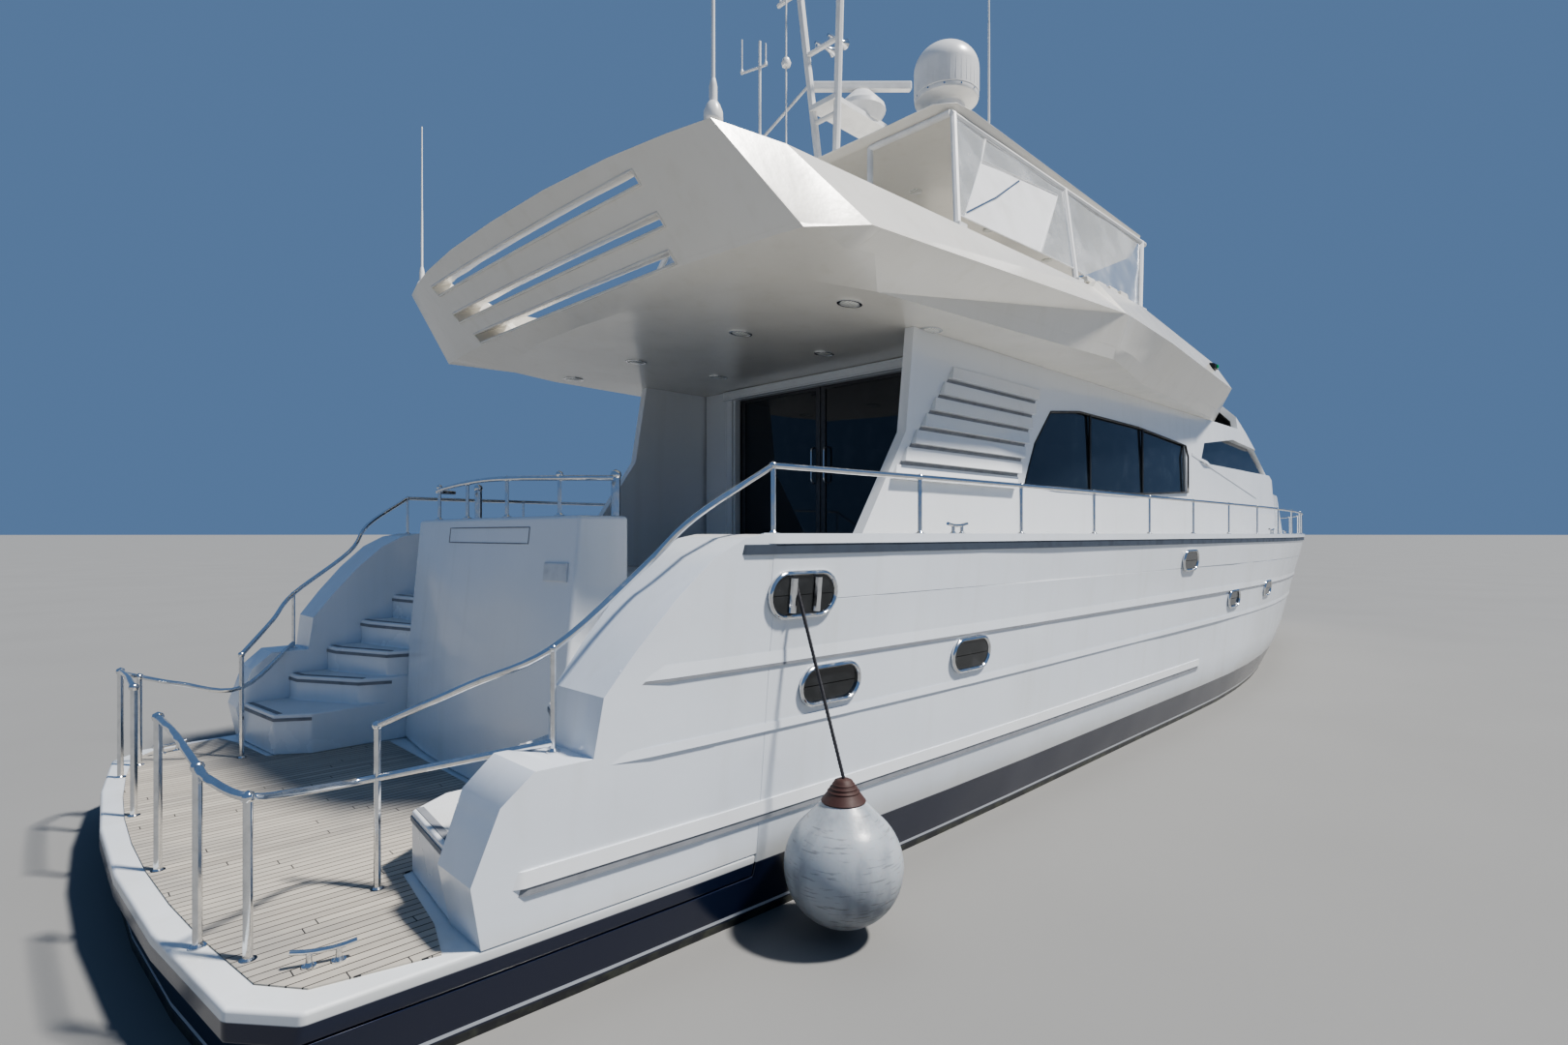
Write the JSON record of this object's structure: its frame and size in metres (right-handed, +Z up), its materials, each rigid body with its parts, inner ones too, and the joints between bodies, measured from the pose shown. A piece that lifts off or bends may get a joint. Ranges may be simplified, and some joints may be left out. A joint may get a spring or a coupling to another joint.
{
  "type": "motor yacht",
  "caption": "Flybridge motor yacht afloat: decked hull with swim platform and stern stairs, glazed house, overhanging upper deck, hardtop, mast, rails and running gear.",
  "frame": {"origin": "on the centreline, amidships, at the waterline", "axes": "+X towards the bow, +Y to port, +Z up"},
  "size_m": [24.662, 6.62, 11.0087],
  "materials": {
    "hull_gelcoat": "white gelcoat, dark boot stripe at the water",
    "gelcoat": "white gelcoat",
    "deck_teak": "weathered teak planks in a white edge",
    "stainless": "polished stainless tube",
    "door_frame": "satin frame",
    "tinted_glass": "dark tinted glass",
    "bronze": "propeller bronze",
    "upholstery": "pale vinyl",
    "moulded_trim": "moulded trim",
    "fender_skin": "pale grey inflated fender, scuffed",
    "rope": "dark braided line",
    "mast_paint": "white paint"
  },
  "bodies": {
    "yacht": {"aft_bulkhead": "gelcoat", "anchor": "stainless", "bow_roller": "stainless", "bulwark_port": "gelcoat", "bulwark_starboard": "gelcoat", "coaming_aft": "gelcoat", "coaming_side_port": "gelcoat", "coaming_side_starboard": "gelcoat", "fender": "fender_skin", "fender_line": "rope", "fly_bench": "upholstery", "fly_console": "moulded_trim", "fly_settee": "upholstery", "flybridge_brow": "gelcoat", "foredeck_trunk": "gelcoat", "hardtop": "gelcoat", "hardtop_frame_port": "stainless", "hardtop_frame_starboard": "stainless", "house_side_port": "gelcoat", "house_side_starboard": "gelcoat", "hull": "hull_gelcoat", "inner_helm": "moulded_trim", "mast": "mast_paint", "pilothouse_front": "gelcoat", "pilothouse_glass": "tinted_glass", "saloon_glass_port": "tinted_glass", "saloon_glass_starboard": "tinted_glass", "saloon_sofa": "upholstery", "satellite_dome": "mast_paint", "shaft_strut_port": "bronze", "shaft_strut_starboard": "bronze", "side_rail_port": "stainless", "side_rail_starboard": "stainless", "stern_stairs_port": "gelcoat", "stern_stairs_starboard": "gelcoat", "swim_platform": "deck_teak", "transom": "gelcoat", "transom_rail": "stainless", "upper_deck": "gelcoat", "whip_hardtop": "mast_paint", "whip_port_aft": "mast_paint", "whip_starboard_aft": "mast_paint", "windlass": "stainless"},
    "propeller_port_body": {"propeller_port": "bronze"},
    "propeller_starboard_body": {"propeller_starboard": "bronze"},
    "rudder_port_body": {"rudder_port": "bronze"},
    "rudder_starboard_body": {"rudder_starboard": "bronze"},
    "radar_scanner_body": {"radar_scanner": "mast_paint"},
    "door_port": {"door_leaf_port": "door_frame", "door_glass_port": "tinted_glass"},
    "door_starboard": {"door_leaf_starboard": "door_frame", "door_glass_starboard": "tinted_glass"},
    "hatch_lid": {"foredeck_hatch": "gelcoat"},
    "helm_wheel": {"fly_wheel": "stainless"}
  },
  "joints": [
    {"name": "propeller_port_spin", "type": "hinge", "parent": "yacht", "child": "propeller_port_body", "pos_m": [-9.6, 1.35, -1.02], "axis": [-0.995, 0, -0.0995], "continuous": true},
    {"name": "propeller_starboard_spin", "type": "hinge", "parent": "yacht", "child": "propeller_starboard_body", "pos_m": [-9.6, -1.35, -1.02], "axis": [-0.995, 0, -0.0995], "continuous": true},
    {"name": "rudder_port_turn", "type": "hinge", "parent": "yacht", "child": "rudder_port_body", "pos_m": [-10.45, 1.35, -0.9], "axis": [0, 0, 1], "range_deg": [-35, 35]},
    {"name": "rudder_starboard_turn", "type": "hinge", "parent": "yacht", "child": "rudder_starboard_body", "pos_m": [-10.45, -1.35, -0.9], "axis": [0, 0, 1], "range_deg": [-35, 35]},
    {"name": "radar_spin", "type": "hinge", "parent": "yacht", "child": "radar_scanner_body", "pos_m": [-5.08, 0, 7.9], "axis": [0, 0, 1], "continuous": true},
    {"name": "door_port_slide", "type": "slide", "parent": "yacht", "child": "door_port", "axis": [0, 1, 0], "range_m": [0, 0.55]},
    {"name": "door_starboard_slide", "type": "slide", "parent": "yacht", "child": "door_starboard", "axis": [0, -1, 0], "range_m": [0, 0.55]},
    {"name": "hatch_hinge", "type": "hinge", "parent": "yacht", "child": "hatch_lid", "pos_m": [8.4, 0, 2.9005], "axis": [0, 1, 0], "range_deg": [0, 95]},
    {"name": "helm_wheel_turn", "type": "hinge", "parent": "yacht", "child": "helm_wheel", "pos_m": [0.64, 0, 5.33], "axis": [0.8776, 0, -0.4794], "range_deg": [-540, 540]}
  ],
  "couplings": [
    {"joint": "rudder_starboard_turn", "follows": "rudder_port_turn", "ratio": 1}
  ]
}
